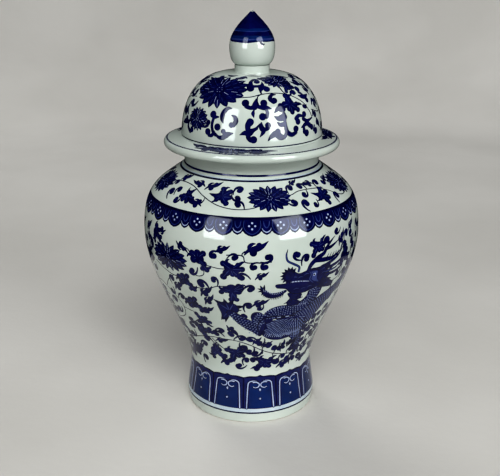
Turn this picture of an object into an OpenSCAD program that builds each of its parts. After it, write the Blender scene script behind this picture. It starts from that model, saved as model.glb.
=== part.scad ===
// Baluster ginger jar with a domed lid and a bud finial.
// Glazed porcelain, made in thrown sections that butt face to face at level planes.
// Origin: centre of the foot's resting plane. +Z is the axis of the jar.

/* [Jar] */
// Height of the foot ring, up to its joint with the body
foot_h = 10.5; // [8:0.5:14]
// Radius of the foot ring at its top
foot_r = 65.6; // [60:0.1:68]
// Radius of the opening inside the foot ring
foot_bore_r = 54; // [46:0.5:56]
// Radius of the waist above the foot
waist_r = 61.8; // [60:0.1:64]
// Height of the waist
waist_z = 48.3; // [42:0.1:56]
// Radius of the belly at its widest
belly_r = 105.8; // [98:0.1:112]
// Height of the belly's widest ring, where the two body sections join
belly_z = 187; // [180:0.5:196]
// Radius of the shoulder where the neck ring joins
shoulder_r = 67.5; // [67:0.1:69]
// Height of the joint between shoulder and neck ring
shoulder_z = 250; // [246:0.5:254]
// Radius of the straight neck
neck_r = 65; // [64:0.1:66]
// Height of the neck rim, on which the lid rests
rim_z = 268; // [266:0.5:272]

/* [Lid] */
// Outer radius of the flange
flange_r = 84.6; // [80:0.1:88]
// Thickness of the flange at its rim
flange_t = 8.5; // [7:0.1:10]
// Rise of the flange's top face from its rim to the dome
flange_rise = 2; // [1:0.1:3]
// Radius of the dome where it stands on the flange
dome_r = 67.6; // [66:0.1:70]
// Height of the dome above the flange
dome_h = 59.5; // [54:0.5:64]
// Depth of the locating ring below the flange
ring_drop = 12; // [8:0.5:16]
// Gap between the locating ring and the bore of the neck
ring_gap = 2; // [1:0.1:3]

/* [Finial] */
// Radius of the collar under the finial
collar_r = 16.5; // [15:0.1:18]
// Height of the collar
collar_h = 6.5; // [5:0.1:8]
// Radius of the finial's ball at its widest
ball_r = 21.4; // [20:0.1:23]
// Height of the finial from its collar to the rounded tip
bud_h = 49; // [46:0.1:54]

/* [Walls] */
// Wall of the jar, measured square to its surface
jar_wall = 6; // [5:0.1:7]
// Thickness of the jar's floor
floor_t = 8; // [6:0.5:10]
// Wall of the dome, the locating ring and the finial
lid_wall = 5; // [4:0.1:5.5]
// Radius of the firing vent through collar and dome
vent_r = 2; // [1.5:0.1:3]

/* [Hidden] */
$fn = 96;

// Straight steps along each curved stretch of an outline
steps = 14;
// Small roundings of edges
edge_round = 1.5;
rim_round = 2;
tip_round = 2.5;

// Levels of the lid, from the neck rim upwards
flange_top_z = rim_z + flange_t;
dome_z = flange_top_z + flange_rise;
collar_z = dome_z + dome_h;
bud_z = collar_z + collar_h;
tip_z = bud_z + bud_h;

// Radii that follow from a wall or a gap
neck_bore_r = neck_r - jar_wall;
ring_r = neck_bore_r - ring_gap;
ring_bore_r = ring_r - lid_wall;
bud_seat_r = collar_r - edge_round;
ball_z = bud_z + bud_h / 3;

// Where the finial's side meets its rounded tip
tip_turn = 45;
bud_shoulder = [tip_round * cos(tip_turn), tip_z - tip_round * (1 - sin(tip_turn))];

// Colours
white_glaze = "#dfe5e1";
cobalt = "#1f2a72";

// Control points of each curved stretch: start, two handles, end, as [radius, height]
ankle = [
    [foot_r, foot_h], [foot_r, foot_h + 10.4],
    [waist_r, waist_z - 13.5], [waist_r, waist_z]
];
rise = [
    [waist_r, waist_z], [waist_r, waist_z + 35.2],
    [belly_r, belly_z - 48.1], [belly_r, belly_z]
];
shoulder = [
    [belly_r, belly_z], [belly_r, belly_z + 42.8],
    [shoulder_r + 24, shoulder_z - 18.6], [shoulder_r, shoulder_z]
];
neck_root = [
    [shoulder_r, shoulder_z], [shoulder_r - 1.5, shoulder_z + 1.2],
    [neck_r, shoulder_z + 2.5], [neck_r, shoulder_z + 4.5]
];
dome = [
    [dome_r, dome_z], [dome_r - 0.4, dome_z + 31],
    [collar_r + 38, collar_z + 1.6], [collar_r, collar_z]
];
ball_low = [
    [bud_seat_r, bud_z], [bud_seat_r + 3, bud_z + 1.2],
    [ball_r, ball_z - 12], [ball_r, ball_z]
];
ball_high = [
    [ball_r, ball_z], [ball_r, ball_z + 13.2],
    bud_shoulder + [9.6, -10], bud_shoulder
];

// A point on a cubic curve, its direction there, and the whole curve as a list of points
function at(c, t) =
    pow(1 - t, 3) * c[0] + 3 * pow(1 - t, 2) * t * c[1]
    + 3 * (1 - t) * t * t * c[2] + pow(t, 3) * c[3];
function along(c, t) =
    pow(1 - t, 2) * (c[1] - c[0]) + 2 * (1 - t) * t * (c[2] - c[1])
    + t * t * (c[3] - c[2]);
function curve(c) = [for (i = [0:steps]) at(c, i / steps)];

// The same curve moved inwards by a wall thickness, square to itself
function inside(c, t, wall) =
    let (d = along(c, t))
    at(c, t) - wall * [d[1], -d[0]] / norm(d);
function inner_curve(c, wall) = [for (i = [0:steps]) inside(c, i / steps, wall)];

// A quarter or half round edge: centre, radius, first and last angle
function arc(centre, r, a0, a1) =
    [for (i = [0:6]) centre + r * [cos(a0 + (a1 - a0) * i / 6), sin(a0 + (a1 - a0) * i / 6)]];

function reversed(points) = [for (i = [len(points) - 1:-1:0]) points[i]];

// Solid of revolution of one outline
module turned(outline) {
    rotate_extrude() polygon(outline);
}

// Unglazed ring that the jar stands on
module foot_ring() {
    outline = concat(
        [[foot_bore_r, foot_h], [foot_bore_r, edge_round], [foot_bore_r + edge_round, 0]],
        arc([foot_r - 2.6, edge_round], edge_round, -90, -20),
        [[foot_r, foot_h]]
    );
    color(white_glaze) turned(outline);
}

// Floor, ankle, waist and lower half of the belly
module lower_body() {
    floor_z = foot_h + floor_t;
    hollow = [for (p = inner_curve(rise, jar_wall)) if (p[1] > floor_z) p];
    ankle_hollow = [for (p = inner_curve(ankle, jar_wall)) if (p[1] > floor_z + edge_round) p];
    first = ankle_hollow[0];
    outline = concat(
        [[0, foot_h]],
        curve(ankle),
        curve(rise),
        reversed(hollow),
        reversed(ankle_hollow),
        [[first[0] - edge_round, floor_z], [0, floor_z]]
    );
    color(white_glaze) turned(outline);
}

// Upper half of the belly and the shoulder
module upper_body() {
    outline = concat(
        curve(shoulder),
        [[neck_bore_r, shoulder_z]],
        reversed(inner_curve(shoulder, jar_wall))
    );
    color(white_glaze) turned(outline);
}

// Straight neck with a ground rim
module neck_ring() {
    outline = concat(
        [[neck_bore_r, shoulder_z]],
        curve(neck_root),
        arc([neck_r - rim_round, rim_z - rim_round], rim_round, 0, 90),
        arc([neck_bore_r + rim_round, rim_z - rim_round], rim_round, 90, 180)
    );
    color(white_glaze) turned(outline);
}

// Flat flange with a rounded rim, which rests on the neck
module lid_flange() {
    rim_bulge = flange_t / 2;
    outline = concat(
        [[ring_bore_r, rim_z]],
        arc([flange_r - rim_bulge, rim_z + rim_bulge], rim_bulge, -90, 78),
        [[dome_r, dome_z], [ring_bore_r, dome_z]]
    );
    color(white_glaze) turned(outline);
}

// Ring under the flange, which keeps the lid centred in the neck
module lid_locating_ring() {
    outline = concat(
        [[ring_bore_r, rim_z]],
        arc([ring_bore_r + edge_round, rim_z - ring_drop + edge_round], edge_round, 180, 270),
        arc([ring_r - edge_round, rim_z - ring_drop + edge_round], edge_round, 270, 360),
        [[ring_r, rim_z]]
    );
    color(white_glaze) turned(outline);
}

// Hollow dome
module lid_dome() {
    hollow = inner_curve(dome, lid_wall);
    outline = concat(
        curve(dome),
        [[vent_r, collar_z], [vent_r, hollow[steps][1]]],
        reversed(hollow),
        [[dome_r - lid_wall, dome_z]]
    );
    color(white_glaze) turned(outline);
}

// Short collar between dome and finial
module finial_collar() {
    color(white_glaze)
        translate([0, 0, collar_z])
            difference() {
                cylinder(h = collar_h, r = collar_r);
                translate([0, 0, -1]) cylinder(h = collar_h + 2, r = vent_r);
            }
}

// Hollow ball drawn up to a point, as a lotus bud
module finial() {
    low_hollow = [for (p = inner_curve(ball_low, lid_wall)) if (p[1] > bud_z + lid_wall) p];
    high_hollow = [for (p = inner_curve(ball_high, lid_wall)) if (p[0] > vent_r) p];
    outline = concat(
        [[vent_r, bud_z]],
        curve(ball_low),
        curve(ball_high),
        arc([0, tip_z - tip_round], tip_round, tip_turn, 90),
        [[0, high_hollow[len(high_hollow) - 1][1]]],
        reversed(high_hollow),
        reversed(low_hollow),
        [[vent_r, low_hollow[0][1]]]
    );
    color(cobalt) turned(outline);
}

foot_ring();
lower_body();
upper_body();
neck_ring();
lid_flange();
lid_locating_ring();
lid_dome();
finial_collar();
finial();
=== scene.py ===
"""Blue and white porcelain jar with a domed lid.

Smooth glazed shells stand for the frame's sections, and the cobalt painting lies on them in layers a few
hundredths of a millimetre proud. Object lengths are in metres. A place on a painted surface is an angle
round the jar in degrees, 0 at the front and positive to the viewer's right, and a distance up the outline
in millimetres.
"""

import math

import bpy
import numpy as np
from mathutils import Matrix, Vector
from mathutils.geometry import delaunay_2d_cdt


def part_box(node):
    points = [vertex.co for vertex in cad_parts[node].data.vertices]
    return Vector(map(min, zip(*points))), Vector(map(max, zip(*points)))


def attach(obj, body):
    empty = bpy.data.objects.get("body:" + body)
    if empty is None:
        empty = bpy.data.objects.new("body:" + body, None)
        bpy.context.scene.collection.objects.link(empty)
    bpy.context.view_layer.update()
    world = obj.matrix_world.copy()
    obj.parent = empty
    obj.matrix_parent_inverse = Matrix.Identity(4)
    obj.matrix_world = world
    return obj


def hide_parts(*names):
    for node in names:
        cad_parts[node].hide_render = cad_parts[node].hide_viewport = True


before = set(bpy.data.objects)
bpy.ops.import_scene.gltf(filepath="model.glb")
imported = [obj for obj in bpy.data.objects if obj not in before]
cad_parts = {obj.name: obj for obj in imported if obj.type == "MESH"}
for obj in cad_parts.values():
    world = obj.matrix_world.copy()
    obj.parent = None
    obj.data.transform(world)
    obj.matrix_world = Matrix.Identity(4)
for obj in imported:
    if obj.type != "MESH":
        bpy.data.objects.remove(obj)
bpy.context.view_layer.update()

MM = 0.001
SEGMENTS = 288  # straight steps round each shell
PROUD = 0.05  # how far the painting stands proud of the glaze, mm
SUNK = 0.06  # how far its solid reaches into the shell, mm
EDGE = 2.0  # longest straight edge of a painted outline, mm
NARROWEST = 0.12  # where a brush stroke ends, mm


# ---- sizes in millimetres, most of them taken from the frame ---------------------------------------------


def low(node):
    """Height of a node's lowest face."""
    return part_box(node)[0].z / MM


def high(node):
    """Height of a node's highest face."""
    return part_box(node)[1].z / MM


def radius(node):
    """Largest radius of a node."""
    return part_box(node)[1].x / MM


def smallest_radius(node):
    """Smallest radius of a node that is a ring."""
    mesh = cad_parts[node].data
    return min(math.hypot(v.co.x, v.co.y) for v in mesh.vertices) / MM


foot_z = high("foot_ring")
foot_r = radius("foot_ring")
foot_bore_r = smallest_radius("foot_ring")
belly_z = low("upper_body")
belly_r = radius("upper_body")
root_z = low("neck_ring")
root_r = radius("neck_ring")
rim_z = high("neck_ring")
neck_bore_r = smallest_radius("neck_ring")
flange_r = radius("lid_flange")
dome_z = low("lid_dome")
dome_r = radius("lid_dome")
ring_low_z = low("lid_locating_ring")
ring_r = radius("lid_locating_ring")
ring_bore_r = smallest_radius("lid_locating_ring")
collar_z = low("finial_collar")
collar_r = radius("finial_collar")
vent_r = smallest_radius("finial_collar")
bud_z = low("finial")
tip_z = high("finial")
ball_r = radius("finial")

# What the frame's boxes can't say, as in the design
waist_r, waist_z = 61.8, 48.3
neck_r = root_r - 2.5
lip = 1.5  # round edge of the foot
foot_lean = 1.1  # how far the foot's side leans in at that edge
jar_wall = neck_r - neck_bore_r
lid_wall = ring_r - ring_bore_r
floor_z = foot_z + 8.0
floor_r = 55.0  # the flat part of the jar's floor
flange_top_z = dome_z - 2.0
flange_bulge = (flange_top_z - rim_z) / 2
edge_round = 1.5
rim_round = 2.0
tip_round = 2.5
ball_z = bud_z + (tip_z - bud_z) / 3
tip_turn = math.radians(45)
tip_start = (tip_round * math.cos(tip_turn), tip_z - tip_round * (1 - math.sin(tip_turn)))
seat_r = collar_r - edge_round


# ---- outlines: stretches of points and outward normals, with the outside on the right --------------------


def cubic(a, b, c, d, steps=28):
    """A smooth stretch on a cubic curve through four control points."""
    t = np.linspace(0, 1, steps + 1)[:, None]
    a, b, c, d = (np.array(p, float) for p in (a, b, c, d))
    points = (1 - t) ** 3 * a + 3 * (1 - t) ** 2 * t * b + 3 * (1 - t) * t * t * c + t**3 * d
    along = (1 - t) ** 2 * (b - a) + 2 * (1 - t) * t * (c - b) + t * t * (d - c)
    normals = np.stack([along[:, 1], -along[:, 0]], 1)
    return points, normals / np.linalg.norm(normals, axis=1, keepdims=True)


def arc(centre, r, first, last, steps=10):
    """A round edge between two angles in degrees."""
    angle = np.radians(np.linspace(first, last, steps + 1))
    normals = np.stack([np.cos(angle), np.sin(angle)], 1)
    if last < first:
        return np.array(centre) + r * normals, -normals
    return np.array(centre) + r * normals, normals


def straight(a, b, steps=1):
    """A straight stretch."""
    t = np.linspace(0, 1, steps + 1)[:, None]
    a, b = np.array(a, float), np.array(b, float)
    d = (b - a) / np.linalg.norm(b - a)
    return a + t * (b - a), np.tile([d[1], -d[0]], (steps + 1, 1))


def through(*places):
    """Straight stretches through these places."""
    return [straight(a, b) for a, b in zip(places, places[1:])]


def inside(stretch, wall):
    """The inner face of a wall that has this outer face."""
    points, normals = stretch
    return (points - wall * normals)[::-1], -normals[::-1]


def above(stretch, z):
    """The part of a stretch that lies above a height."""
    keep = stretch[0][:, 1] > z
    return stretch[0][keep], stretch[1][keep]


ankle = cubic((foot_r, foot_z), (foot_r, foot_z + 10.4), (waist_r, waist_z - 13.5), (waist_r, waist_z))
rise = cubic(
    (waist_r, waist_z), (waist_r, waist_z + 35.2), (belly_r, belly_z - 48.1), (belly_r, belly_z), 40
)
shoulder = cubic(
    (belly_r, belly_z), (belly_r, belly_z + 42.8), (root_r + 24, root_z - 18.6), (root_r, root_z), 40
)
neck_root = cubic(
    (root_r, root_z), (root_r - 1.5, root_z + 1.2), (neck_r, root_z + 2.5), (neck_r, root_z + 4.5), 8
)
neck_side = straight((neck_r, root_z + 4.5), (neck_r, rim_z - rim_round), 6)
foot_lip = arc((foot_r - lip - foot_lean, lip), lip, -90, -20, 6)
foot_lip_top = (foot_r - 1.19, 0.99)  # its upper end, to 0.01 mm
foot_edge = [foot_lip, straight(foot_lip_top, (foot_r, foot_z))]
rim_edge = [
    arc((neck_r - rim_round, rim_z - rim_round), rim_round, 0, 90),
    straight((neck_r - rim_round, rim_z), (neck_bore_r + rim_round, rim_z)),
    arc((neck_bore_r + rim_round, rim_z - rim_round), rim_round, 90, 180),
]
dome = cubic(
    (dome_r, dome_z), (dome_r - 0.4, dome_z + 31), (collar_r + 38, collar_z + 1.6), (collar_r, collar_z), 48
)
flange_edge = arc((flange_r - flange_bulge, rim_z + flange_bulge), flange_bulge, -90, 84, 16)
flange_top = straight(flange_edge[0][-1], (dome_r, dome_z), 8)
ball_low = cubic((seat_r, bud_z), (seat_r + 3, bud_z + 1.2), (ball_r, ball_z - 12), (ball_r, ball_z), 20)
ball_high = cubic(
    (ball_r, ball_z), (ball_r, ball_z + 13.2), (tip_start[0] + 9.6, tip_start[1] - 10), tip_start, 28
)
bud_tip = arc((0, tip_z - tip_round), tip_round, 45, 90, 6)


# ---- meshes ----------------------------------------------------------------------------------------------


def new_piece(name, vertices, faces, normals, material, body):
    """A closed mesh in its place, with its own corner normals, riding on a body."""
    mesh = bpy.data.meshes.new(name)
    mesh.from_pydata(vertices * MM, [], faces)
    mesh.polygons.foreach_set("use_smooth", np.ones(len(mesh.polygons), bool))
    mesh.normals_split_custom_set(normals)
    mesh.materials.append(material)
    mesh.update()
    piece = bpy.data.objects.new(name, mesh)
    bpy.context.scene.collection.objects.link(piece)
    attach(piece, body)
    return piece


def around(radial, height, angle):
    """Radius, height and angle in radians as x, y, z. Angle 0 is the front, at -Y."""
    return np.stack([radial * np.sin(angle), -radial * np.cos(angle), height + 0 * angle], -1)


def rings_round(section, angles):
    """The vertices of a ring at each place of a section, and their numbers. The axis has one vertex."""
    vertices, rings = [], []
    for r, z in section:
        start = len(vertices)
        if r < 1e-6:
            vertices.append((0.0, 0.0, z))
            rings.append([start] * SEGMENTS)
        else:
            vertices.extend(map(tuple, around(r, z, angles)))
            rings.append(range(start, start + SEGMENTS))
    return vertices, rings


def turn(node, stretches, material, body):
    """A solid of revolution that replaces a node. A stretch leaves its last place to the next one."""
    angles = np.arange(SEGMENTS) * 2 * math.pi / SEGMENTS
    vertices, rings = rings_round([place for points, _ in stretches for place in points[:-1]], angles)
    steps = [pair for _, normals in stretches for pair in zip(normals, normals[1:])]
    faces, normals = [], []
    for lower, upper, (n0, n1) in zip(rings, [*rings[1:], rings[0]], steps):
        for j in range(SEGMENTS):
            i = (j + 1) % SEGMENTS
            corners = [(lower[j], n0, j), (lower[i], n0, i), (upper[i], n1, i), (upper[j], n1, j)]
            if lower[i] == lower[j]:
                corners.pop(1)
            if upper[i] == upper[j]:
                corners.pop(-1)
            faces.append([c[0] for c in corners])
            normals.extend(
                (n[0] * math.sin(angles[a]), -n[0] * math.cos(angles[a]), n[1]) for _, n, a in corners
            )
    piece = new_piece(node + "_shell", np.array(vertices), faces, normals, material, body)
    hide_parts(node)


class Surface:
    """A painted surface of revolution: distance up its outline, radius, height and normal."""

    def __init__(self, stretches, start=0.0):
        points = np.concatenate([p if k == 0 else p[1:] for k, (p, _) in enumerate(stretches)])
        normals = np.concatenate([n if k == 0 else n[1:] for k, (_, n) in enumerate(stretches)])
        steps = np.linalg.norm(np.diff(points, axis=0), axis=1)
        self.distance = start + np.concatenate([[0], np.cumsum(steps)])
        self.points, self.normals = points, normals

    def radius(self, distance):
        """Radius of the surface at a distance up its outline."""
        return np.interp(distance, self.distance, self.points[:, 0])

    def place(self, angle, distance, lift):
        """Points and normals in space, for angles in radians, lifted off the surface in mm."""
        r, z = (np.interp(distance, self.distance, column) for column in self.points.T)
        nr, nz = (np.interp(distance, self.distance, column) for column in self.normals.T)
        size = np.hypot(nr, nz)
        nr, nz = nr / size, nz / size
        return around(r + lift * nr, z + lift * nz, angle), around(nr, nz, angle)


# ---- brush work ------------------------------------------------------------------------------------------


def spline(points, step=0.7):
    """A smooth curve through points of any number of columns, the first two being a place in mm."""
    p = np.array(points, float)
    if len(p) < 3:
        count = max(2, int(np.linalg.norm(p[1, :2] - p[0, :2]) / step))
        return p[0] + np.linspace(0, 1, count + 1)[:, None] * (p[1] - p[0])
    p = np.vstack([2 * p[0] - p[1], p, 2 * p[-1] - p[-2]])
    out = []
    for a, b, c, d in zip(p[:-3], p[1:-2], p[2:-1], p[3:]):
        count = max(2, int(np.linalg.norm((c - b)[:2]) / step))
        t = np.linspace(0, 1, count, endpoint=False)[:, None]
        square, cube = 2 * a - 5 * b + 4 * c - d, 3 * b - a - 3 * c + d
        out.append(0.5 * (2 * b + (c - a) * t + square * t**2 + cube * t**3))
    return np.vstack(out + [p[-2:-1]])


class Painting:
    """Layers of brush work on one surface. Later shapes cover earlier ones."""

    def __init__(self, surface, reference):
        self.surface = surface
        self.reference = reference  # radius at which the flat layout is true, mm
        self.turn_by = 0.0  # added to the angle of everything that is painted, degrees
        self.shapes = []

    def repeat(self, motif, angles):
        """Paints a motif at each of these angles round the jar."""
        for angle in angles:
            self.turn_by = angle
            motif(self)
        self.turn_by = 0.0

    def spot(self, angle, distance, tilt=0.0, size=1.0, flip=False):
        """A place for a motif. Returns a function from the motif's own mm to degrees and distance."""
        c, s = math.cos(math.radians(tilt)), math.sin(math.radians(tilt))

        def to_surface(points):
            p = np.array(points, float)
            u, v = (-1 if flip else 1) * p[..., 0] * size, p[..., 1] * size
            up = distance + s * u + c * v
            return np.stack([angle + np.degrees((c * u - s * v) / self.surface.radius(up)), up], -1)

        to_surface.size = size
        return to_surface

    def fill(self, ink, outline):
        """A filled outline of places in degrees and distance."""
        angle, distance = np.array(outline, float).T
        p = np.stack([np.radians(angle + self.turn_by) * self.reference, distance], -1)
        step = np.roll(p, -1, 0) - p
        length = np.linalg.norm(step, axis=1)
        pieces = [q + np.linspace(0, 1, math.ceil(d / EDGE), endpoint=False)[:, None] * v
                  for q, v, d in zip(p, step, length) if d > 0.02]
        p = np.vstack(pieces)
        x, y = p.T
        if len(p) > 2:
            area = np.dot(x, np.roll(y, -1)) - np.dot(y, np.roll(x, -1))
            self.shapes.append((ink, p if area > 0 else p[::-1]))

    def line(self, ink, path, thin=0.0):
        """A brush stroke through (degrees, distance, width in mm), less thin mm of its width."""
        p = np.array(path, float)
        scale = math.radians(1) * self.surface.radius(p[:, 1].mean())
        p[:, 0] *= scale
        p = spline(p)
        wide = p[:, 2] - thin > NARROWEST
        if wide.sum() < 3:
            return
        first, last = np.flatnonzero(wide)[[0, -1]]
        p = p[first : last + 1]
        half = np.maximum(p[:, 2] - thin, NARROWEST) / 2
        along = np.gradient(p[:, :2], axis=0)
        along /= np.maximum(np.linalg.norm(along, axis=1, keepdims=True), 1e-9)
        across = np.stack([-along[:, 1], along[:, 0]], 1)
        left, right = p[:, :2] + across * half[:, None], p[:, :2] - across * half[:, None]
        far_end, near_end = self._cap(p, along, half, -1, 1), self._cap(p, along, half, 0, -1)
        outline = np.vstack([right, far_end, left[::-1], near_end])
        outline[:, 0] /= scale
        self.fill(ink, outline)

    @staticmethod
    def _cap(p, along, half, k, sign):
        """The round end of a stroke: from right to left at its far end, and back at its start."""
        angle = np.radians(np.linspace(-90, 90, 6)[1:-1])[:, None]
        forward = sign * along[k]
        side = np.array([-forward[1], forward[0]])
        return p[k, :2] + half[k] * (np.cos(angle) * forward + np.sin(angle) * side)

    def disc(self, ink, spot, x, y, r, thin=0.0):
        """A round blob at a motif's x, y."""
        a = np.linspace(0, 2 * math.pi, 14, endpoint=False)
        r = r - thin / 2 / spot.size
        if r > 0.1:
            self.fill(ink, spot(np.stack([x + r * np.cos(a), y + r * np.sin(a)], 1)))

    def stroke(self, ink, spot, path, thin=0.0):
        """A brush stroke through a motif's own (x, y, width)."""
        p = np.array(path, float)
        self.line(ink, np.column_stack([spot(p[:, :2]), p[:, 2] * spot.size]), thin)

    def loaded(self, spot, strokes=(), discs=(), edge=0.9):
        """Strokes and blobs with a dark edge round one paler wash."""
        for ink, thin in (("line", 0.0), ("wash", edge)):
            for path in strokes:
                self.stroke(ink, spot, path, thin)
            for x, y, r in discs:
                self.disc(ink, spot, x, y, r, thin)

    def mesh(self, name, materials, body, slots, spacing):
        """Cuts the layers into one flat map, and makes one thin closed piece of each ink."""
        points, edges = [], []
        for _, outline in self.shapes:
            corners = range(len(points), len(points) + len(outline))
            edges.extend(zip(corners, [*corners[1:], corners[0]]))
            points.extend(outline)
        lowest, highest = np.min(points, 0), np.max(points, 0)
        # The grid starts a little inside, at odd parts of its spacing, which keeps it off the outlines
        across = np.arange(lowest[0] + 0.37 * spacing, highest[0], spacing)
        up = np.arange(lowest[1] + 0.41 * spacing, highest[1], spacing)
        grid = np.stack(np.meshgrid(across, up), -1).reshape(-1, 2)
        everything = [Vector(p) for p in np.vstack([points, grid])]
        flat, _, triangles, _, _, _ = delaunay_2d_cdt(everything, edges, [], 0, 1e-4, False)
        flat = np.array([(v.x, v.y) for v in flat])
        triangles = np.array(triangles)
        inks = self._inks(flat[triangles].mean(axis=1))
        for ink in sorted(set(inks) - {"bare"}):
            self._solid(f"{name}_{ink}", flat, triangles[inks == ink], materials[ink], body)

    def _inks(self, places):
        """The ink on top at each place: that of the last shape that winds round it."""
        inks = np.full(len(places), "bare", dtype="<U8")
        order = np.argsort(places[:, 0])
        sorted_x = places[order, 0]
        for ink, outline in self.shapes:
            (x_low, y_low), (x_high, y_high) = outline.min(0), outline.max(0)
            near = order[np.searchsorted(sorted_x, x_low) : np.searchsorted(sorted_x, x_high)]
            near = near[(places[near, 1] > y_low) & (places[near, 1] < y_high)]
            x, y = places[near].T[:, :, None]
            (x0, y0), (x1, y1) = outline.T, np.roll(outline, -1, 0).T
            left = (x1 - x0) * (y - y0) - (x - x0) * (y1 - y0)
            up = ((y0 <= y) & (y1 > y) & (left > 0)).sum(1)
            down = ((y0 > y) & (y1 <= y) & (left < 0)).sum(1)
            inks[near[up != down]] = ink
        return inks

    def _solid(self, name, flat, triangles, material, body):
        """A thin closed solid on the surface from triangles of the flat layout."""
        angle = flat[:, 0] / self.reference
        turned = np.round(np.mod(angle + 1e-7, 2 * math.pi), 5)
        turned[self.surface.radius(flat[:, 1]) < 0.02] = 0
        keys = np.column_stack([turned, np.round(flat[:, 1], 3)])
        used = np.unique(triangles)
        _, first, same = np.unique(keys[used], axis=0, return_index=True, return_inverse=True)
        renumber = np.zeros(len(flat), int)
        renumber[used] = same.reshape(-1)
        corners = used[first]
        tri = renumber[triangles]
        tri = tri[(tri[:, 0] != tri[:, 1]) & (tri[:, 1] != tri[:, 2]) & (tri[:, 2] != tri[:, 0])]
        over, normal = self.surface.place(angle[corners], flat[corners, 1], PROUD)
        under, _ = self.surface.place(angle[corners], flat[corners, 1], -SUNK)
        count = len(corners)
        edges = np.vstack([tri[:, [0, 1]], tri[:, [1, 2]], tri[:, [2, 0]]])
        codes = edges[:, 0] * count + edges[:, 1]
        rim = edges[~np.isin(edges[:, 1] * count + edges[:, 0], codes)]
        sides = np.column_stack([rim[:, 1], rim[:, 0], rim[:, 0] + count, rim[:, 1] + count])
        faces = tri.tolist() + (tri[:, ::-1] + count).tolist() + sides.tolist()
        vertices = np.vstack([over, under])
        corner, beside, _, below = vertices[sides].swapaxes(0, 1)
        out = np.cross(beside - corner, below - corner)
        out /= np.maximum(np.linalg.norm(out, axis=1, keepdims=True), 1e-12)
        outer, inner = normal[tri].reshape(-1, 3), -normal[tri[:, ::-1]].reshape(-1, 3)
        normals = np.vstack([outer, inner, np.repeat(out, 4, 0)])
        new_piece(name, vertices, faces, normals, material, body)


# ---- motifs, each drawn in its own millimetres -----------------------------------------------------------


def curl(art, spot):
    """A stem from the lower left that rolls over the top of a round bulb at the motif's own centre."""
    stem = [(-6.8, -4.4, 1.0), (-6.0, -0.8, 1.6), (-3.9, 2.6, 2.4), (-0.7, 3.9, 3.1), (1.9, 2.4, 3.6),
            (1.7, 0.6, 3.6)]
    art.loaded(spot, [stem], [(-0.2, -0.2, 2.9)])


def wisp(art, spot):
    """A long pointed leaf with a lobe on its back and a bulb under it."""
    blade = [(-7.4, -2.4, 1.0), (-4.6, 0.2, 2.6), (-1, 0.8, 4.4), (2.8, 1.6, 4.8), (6.2, 2.7, 3.2),
             (10.4, 5.6, 0.4)]
    lobe = [(-3.6, 0.4, 2.4), (-3.2, 3.4, 3.0), (-0.8, 4.9, 2.0), (1.2, 4.8, 0.6)]
    art.loaded(spot, [blade, lobe], [(-1.0, -1.6, 2.7), (3.6, 3.2, 2.2)])


LEAF_LOBES = {
    "broad": [
        (-9, -2, 2.4), (-5, 1, 3.5), (0, 1.6, 5.2), (6, 5, 2.9), (5, 0, 3.6), (8.6, 3.4, 2.0),
        (0.6, -5, 3.6), (-1, -9.4, 2.6), (3.4, -9, 2.4),
    ],
    "fan": [
        (-6.6, 5, 2.8), (-2.6, 2.6, 3.8), (0, 0, 5.0), (-6.6, -7.4, 3.2), (-4, -3.6, 3.4), (9.6, 0.4, 2.7),
        (5, 0.4, 3.8), (6.2, 4.6, 2.1), (5.2, -5.2, 2.6), (1.4, -4.6, 2.6),
    ],
    "block": [
        (-5.4, 3.4, 3.1), (0, 4.2, 3.5), (5.6, 4.6, 2.8), (-4, -2, 3.5), (1.6, -0.8, 4.8), (6, -5, 3.0),
        (8.4, -10, 2.6), (4.2, -9.4, 2.3),
    ],
    "ivy": [
        (0, 0, 5.2), (-0.8, 8.4, 2.6), (0, 4.4, 3.4), (6.2, 5.4, 3.0), (3, 2.6, 4.0), (7.4, -1, 2.8),
        (4, -1.6, 4.2), (6, -7.8, 2.6), (3.6, -5, 3.4), (-4, -4.6, 2.4), (-4.6, -0.6, 3.2),
    ],
}
LEAF_HOOKS = {
    "broad": [
        [(6, 4, 4.0), (9.6, 6.2, 2.4), (11.8, 5.6, 0.5)],
        [(-7, 0, 3.4), (-10.2, 2.6, 2.0), (-10.0, 4.4, 0.6)],
    ],
    "fan": [
        [(-4, 4, 4.0), (-3.4, 8.0, 2.6), (-1.2, 9.2, 0.6)],
        [(5, 3, 4.0), (9.6, 6.6, 2.4), (12.4, 7.4, 0.5)],
    ],
    "block": [
        [(-5, 2, 3.6), (-9.0, 1.6, 2.4), (-10.6, -0.6, 0.8)],
        [(6, -9, 3.6), (11.0, -8.0, 2.4), (12.6, -5.8, 0.6)],
    ],
    "ivy": [
        [(-3, 0, 5), (-8, 0.2, 3.6), (-12.6, 1.4, 0.6)],
        [(0, 7, 3.4), (2.4, 10.2, 2.2), (4.8, 10, 0.5)],
        [(-3, -3, 3.2), (-6, -6.6, 2), (-9, -7.8, 0.5)],
    ],
}


def leaf(art, spot, kind):
    """A compact leaf of round lobes with hooked tips and paler veins."""
    lobes = LEAF_LOBES[kind]
    art.loaded(spot, LEAF_HOOKS[kind], lobes)
    for x, y, _ in lobes:
        if abs(x) + abs(y) > 3:
            vein = ((0.35, 0.3), (0.7, 0.45), (1.1, 0.2))
            art.stroke("mid", spot, [(reach * x, reach * y, wide) for reach, wide in vein])


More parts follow.
